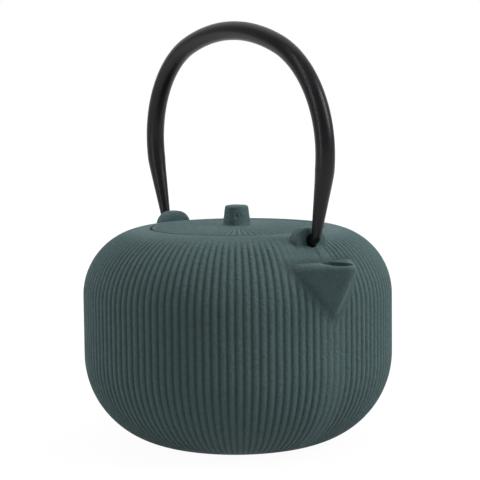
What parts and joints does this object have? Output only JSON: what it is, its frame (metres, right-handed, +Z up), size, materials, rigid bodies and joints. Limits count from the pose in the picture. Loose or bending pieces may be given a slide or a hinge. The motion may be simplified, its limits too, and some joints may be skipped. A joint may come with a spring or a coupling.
{
  "type": "cast iron teapot",
  "caption": "Ribbed cast iron teapot with a V-shaped spout, a drop-in knobbed lid, a lift-out strainer basket and a black tubular bail handle that swings to both sides.",
  "frame": {"origin": "middle of the flat base, on the surface that the pot stands on", "axes": "+X from the pot's axis towards the spout, +Z up along the pot's axis"},
  "size_m": [0.1755, 0.16, 0.2166],
  "materials": {
    "lacquered_cast_iron": "matte grey-green lacquer over a sand-cast surface, black enamel inside the pot",
    "black_lacquered_steel": "black semi-gloss lacquer on steel tube",
    "stainless_steel": "pressed stainless sheet",
    "perforated_stainless_steel": "finely perforated stainless sheet"
  },
  "bodies": {
    "pot": {"pot_body": "lacquered_cast_iron"},
    "bail": {"handle": "black_lacquered_steel"},
    "lid": {"lid": "lacquered_cast_iron", "lid_knob": "lacquered_cast_iron"},
    "strainer": {"strainer_rim": "stainless_steel", "strainer_wall": "perforated_stainless_steel", "strainer_floor": "perforated_stainless_steel", "strainer_base_band": "stainless_steel"}
  },
  "joints": [
    {"name": "handle_swing", "type": "hinge", "parent": "pot", "child": "bail", "pos_m": [0, 0, 0.1088], "axis": [1, 0, 0], "range_deg": [-101, 99]},
    {"name": "lid_lift", "type": "slide", "parent": "pot", "child": "lid", "axis": [0, 0, 1], "range_m": [0, 0.08]},
    {"name": "strainer_lift", "type": "slide", "parent": "pot", "child": "strainer", "axis": [0, 0, 1], "range_m": [0, 0.064]}
  ],
  "couplings": [
    {"joint": "strainer_lift", "follows": "lid_lift", "ratio": 0.8}
  ]
}
